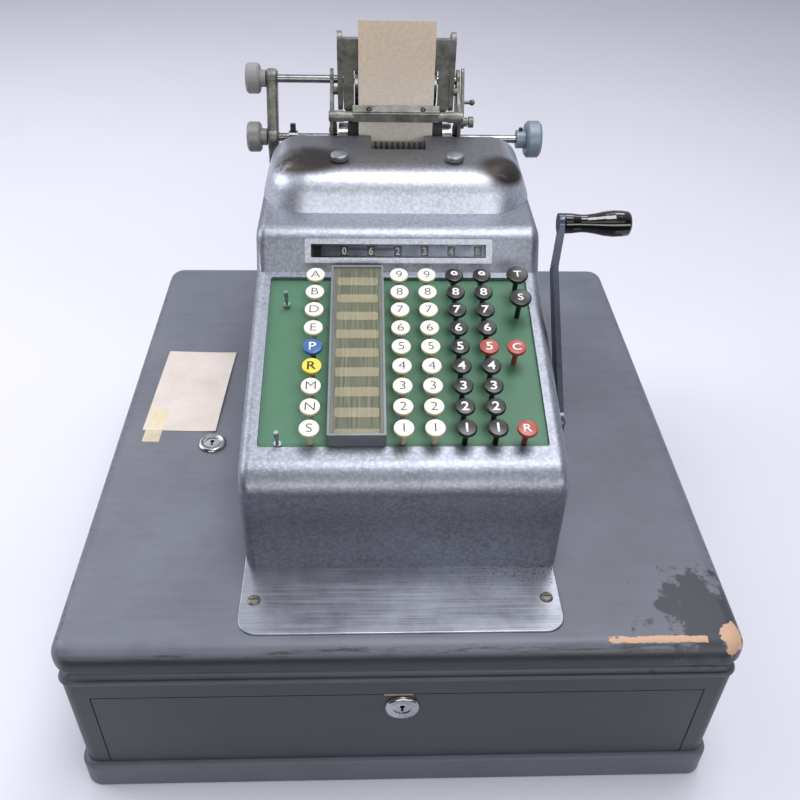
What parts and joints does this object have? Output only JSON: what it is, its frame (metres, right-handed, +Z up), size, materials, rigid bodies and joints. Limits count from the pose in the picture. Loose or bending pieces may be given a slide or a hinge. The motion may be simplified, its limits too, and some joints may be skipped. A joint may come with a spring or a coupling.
{
  "type": "adding machine on a cash drawer",
  "caption": "Full-keyboard adding machine with a crank, paper roll and platen, standing on a wooden cabinet whose cash drawer slides out.",
  "frame": {"origin": "centre of the cabinet's footprint, on the floor", "axes": "+Z up; the drawer, the keyboard and the machine's front face -Y; +X is to the right of a person at the keyboard, where the crank is"},
  "size_m": [0.427, 0.454, 0.4017],
  "materials": {
    "cabinet_paint": "painted satin, worn to the wood at edges",
    "plain_wood": "oiled",
    "steel_plate": "scuffed",
    "lock_metal": "worn",
    "hammertone": "hammered, semi-gloss",
    "green_paint": "satin",
    "pan_metal": "matt",
    "bezel_metal": "satin",
    "pane": "clear",
    "mask_black": "gloss",
    "wheel_black": "matt",
    "dark_steel": "oiled, patinated",
    "frame_grey": "satin",
    "celluloid": "aged, gloss",
    "label_card": "aged",
    "key_white": "gloss",
    "key_black": "gloss",
    "key_red": "gloss",
    "bright_metal": "worn",
    "paper_cream": "aged",
    "platen_rubber": "matt",
    "knob_grey": "satin",
    "crank_metal": "worn black with bright edges",
    "grip_black": "gloss"
  },
  "bodies": {
    "cabinet": {"cabinet_carcass": "cabinet_paint", "face_frame": "cabinet_paint", "bottom_board": "plain_wood", "plinth": "cabinet_paint", "cove_moulding": "cabinet_paint", "cabinet_lid": "cabinet_paint", "drawer_runners": "plain_wood", "wear_plate": "steel_plate", "wear_plate_screws": "steel_plate", "lid_lock_case": "lock_metal", "housing": "hammertone", "base_plate": "pan_metal", "keyboard_plate": "green_paint", "window_bezel": "bezel_metal", "window_glass": "pane", "window_mask": "mask_black", "wheel_shaft": "dark_steel", "label_holder": "frame_grey", "label_window": "celluloid", "label_strips": "label_card", "plate_posts": "bright_metal", "top_cover": "hammertone", "carriage_frame": "dark_steel", "roll_cradle": "dark_steel", "paper_sheet": "paper_cream", "paper_guide": "dark_steel", "side_arm": "dark_steel"},
    "drawer": {"drawer_front": "cabinet_paint", "drawer_box": "plain_wood", "till_tray": "plain_wood", "drawer_lock_case": "lock_metal"},
    "drawer_plug": {"drawer_lock_plug": "lock_metal"},
    "lid_plug": {"lid_lock_plug": "lock_metal"},
    "wheel_1": {"number_wheel_1": "wheel_black"},
    "wheel_2": {"number_wheel_2": "wheel_black"},
    "wheel_3": {"number_wheel_3": "wheel_black"},
    "wheel_4": {"number_wheel_4": "wheel_black"},
    "wheel_5": {"number_wheel_5": "wheel_black"},
    "wheel_6": {"number_wheel_6": "wheel_black"},
    "left_thumb_screw": {"thumb_screw_left": "bright_metal"},
    "right_thumb_screw": {"thumb_screw_right": "bright_metal"},
    "type": {"type_bars": "dark_steel"},
    "letters": {"letter_keys": "key_white"},
    "digits_1": {"number_keys_1": "key_white"},
    "digits_2": {"number_keys_2": "key_white"},
    "digits_3": {"number_keys_3": "key_black"},
    "digits_4": {"number_keys_4": "key_black"},
    "total": {"total_key": "key_black"},
    "subtotal": {"subtotal_key": "key_black"},
    "correction": {"correction_key": "key_red"},
    "repeat": {"repeat_key": "key_red"},
    "roll": {"paper_roll": "paper_cream", "roll_spindle": "dark_steel"},
    "roller": {"platen": "platen_rubber", "platen_shaft": "bright_metal", "platen_knobs": "knob_grey"},
    "bar": {"paper_bar": "dark_steel"},
    "lever": {"release_lever": "dark_steel"},
    "crank": {"crank_arm": "crank_metal"},
    "grip": {"crank_handle": "grip_black"}
  },
  "joints": [
    {"name": "drawer_slide", "type": "slide", "parent": "cabinet", "child": "drawer", "axis": [0, -1, 0], "range_m": [0, 0.3]},
    {"name": "drawer_plug_turn", "type": "hinge", "parent": "drawer", "child": "drawer_plug", "pos_m": [0.001, -0.223, 0.0834], "axis": [0, -1, 0], "range_deg": [0, 90]},
    {"name": "lid_plug_turn", "type": "hinge", "parent": "cabinet", "child": "lid_plug", "pos_m": [-0.1372, -0.0377, 0.143], "axis": [0, 0, 1], "range_deg": [0, 90]},
    {"name": "wheel_1_turn", "type": "hinge", "parent": "cabinet", "child": "wheel_1", "pos_m": [-0.0369, 0.03162, 0.26834], "axis": [1, 0, 0], "continuous": true},
    {"name": "wheel_2_turn", "type": "hinge", "parent": "cabinet", "child": "wheel_2", "pos_m": [-0.01785, 0.03162, 0.26834], "axis": [1, 0, 0], "continuous": true},
    {"name": "wheel_3_turn", "type": "hinge", "parent": "cabinet", "child": "wheel_3", "pos_m": [0.0012, 0.03162, 0.26834], "axis": [1, 0, 0], "continuous": true},
    {"name": "wheel_4_turn", "type": "hinge", "parent": "cabinet", "child": "wheel_4", "pos_m": [0.02025, 0.03162, 0.26834], "axis": [1, 0, 0], "continuous": true},
    {"name": "wheel_5_turn", "type": "hinge", "parent": "cabinet", "child": "wheel_5", "pos_m": [0.0393, 0.03162, 0.26834], "axis": [1, 0, 0], "continuous": true},
    {"name": "wheel_6_turn", "type": "hinge", "parent": "cabinet", "child": "wheel_6", "pos_m": [0.05835, 0.03162, 0.26834], "axis": [1, 0, 0], "continuous": true},
    {"name": "left_thumb_screw_turn", "type": "hinge", "parent": "cabinet", "child": "left_thumb_screw", "pos_m": [-0.0407, 0.0786, 0.3179], "axis": [0, 0, 1], "continuous": true},
    {"name": "right_thumb_screw_turn", "type": "hinge", "parent": "cabinet", "child": "right_thumb_screw", "pos_m": [0.0441, 0.0786, 0.3179], "axis": [0, 0, 1], "continuous": true},
    {"name": "letters_press", "type": "slide", "parent": "cabinet", "child": "letters", "axis": [0, 0.2546, -0.967], "range_m": [0, 0.006], "stiffness_N_per_m": 600, "springref_m": -0.001},
    {"name": "digits_1_press", "type": "slide", "parent": "cabinet", "child": "digits_1", "axis": [0, 0.2546, -0.967], "range_m": [0, 0.006], "stiffness_N_per_m": 600, "springref_m": -0.001},
    {"name": "digits_2_press", "type": "slide", "parent": "cabinet", "child": "digits_2", "axis": [0, 0.2546, -0.967], "range_m": [0, 0.006], "stiffness_N_per_m": 600, "springref_m": -0.001},
    {"name": "digits_3_press", "type": "slide", "parent": "cabinet", "child": "digits_3", "axis": [0, 0.2546, -0.967], "range_m": [0, 0.006], "stiffness_N_per_m": 600, "springref_m": -0.001},
    {"name": "digits_4_press", "type": "slide", "parent": "cabinet", "child": "digits_4", "axis": [0, 0.2546, -0.967], "range_m": [0, 0.006], "stiffness_N_per_m": 600, "springref_m": -0.001},
    {"name": "total_press", "type": "slide", "parent": "cabinet", "child": "total", "axis": [0, 0.2546, -0.967], "range_m": [0, 0.006], "stiffness_N_per_m": 250, "springref_m": -0.001},
    {"name": "subtotal_press", "type": "slide", "parent": "cabinet", "child": "subtotal", "axis": [0, 0.2546, -0.967], "range_m": [0, 0.006], "stiffness_N_per_m": 250, "springref_m": -0.001},
    {"name": "correction_press", "type": "slide", "parent": "cabinet", "child": "correction", "axis": [0, 0.2546, -0.967], "range_m": [0, 0.006], "stiffness_N_per_m": 250, "springref_m": -0.001},
    {"name": "repeat_press", "type": "slide", "parent": "cabinet", "child": "repeat", "axis": [0, 0.2546, -0.967], "range_m": [0, 0.006], "stiffness_N_per_m": 250, "springref_m": -0.001},
    {"name": "crank_pull", "type": "hinge", "parent": "cabinet", "child": "crank", "pos_m": [0.1027, -0.086, 0.2059], "axis": [1, 0, 0], "range_deg": [0, 75], "stiffness_Nm_per_rad": 0.8, "springref_deg": -34.38},
    {"name": "grip_turn", "type": "hinge", "parent": "crank", "child": "grip", "pos_m": [0.1157, 0.0141, 0.30089], "axis": [1, 0, 0], "continuous": true},
    {"name": "type_rise", "type": "slide", "parent": "cabinet", "child": "type", "axis": [0, 0, 1], "range_m": [0, 0.008]},
    {"name": "roller_turn", "type": "hinge", "parent": "cabinet", "child": "roller", "pos_m": [0.0017, 0.143, 0.3085], "axis": [1, 0, 0], "continuous": true},
    {"name": "roll_turn", "type": "hinge", "parent": "cabinet", "child": "roll", "pos_m": [0.0017, 0.163, 0.3479], "axis": [1, 0, 0], "continuous": true},
    {"name": "bar_lift", "type": "hinge", "parent": "cabinet", "child": "bar", "pos_m": [0.0017, 0.139, 0.3162], "axis": [1, 0, 0], "range_deg": [0, 18]},
    {"name": "lever_pull", "type": "hinge", "parent": "cabinet", "child": "lever", "pos_m": [0.0537, 0.135, 0.3252], "axis": [1, 0, 0], "range_deg": [-8, 8]}
  ],
  "couplings": [
    {"joint": "roll_turn", "follows": "roller_turn", "ratio": 0.594},
    {"joint": "type_rise", "follows": "crank_pull", "m_per_rad": 0.006112}
  ]
}
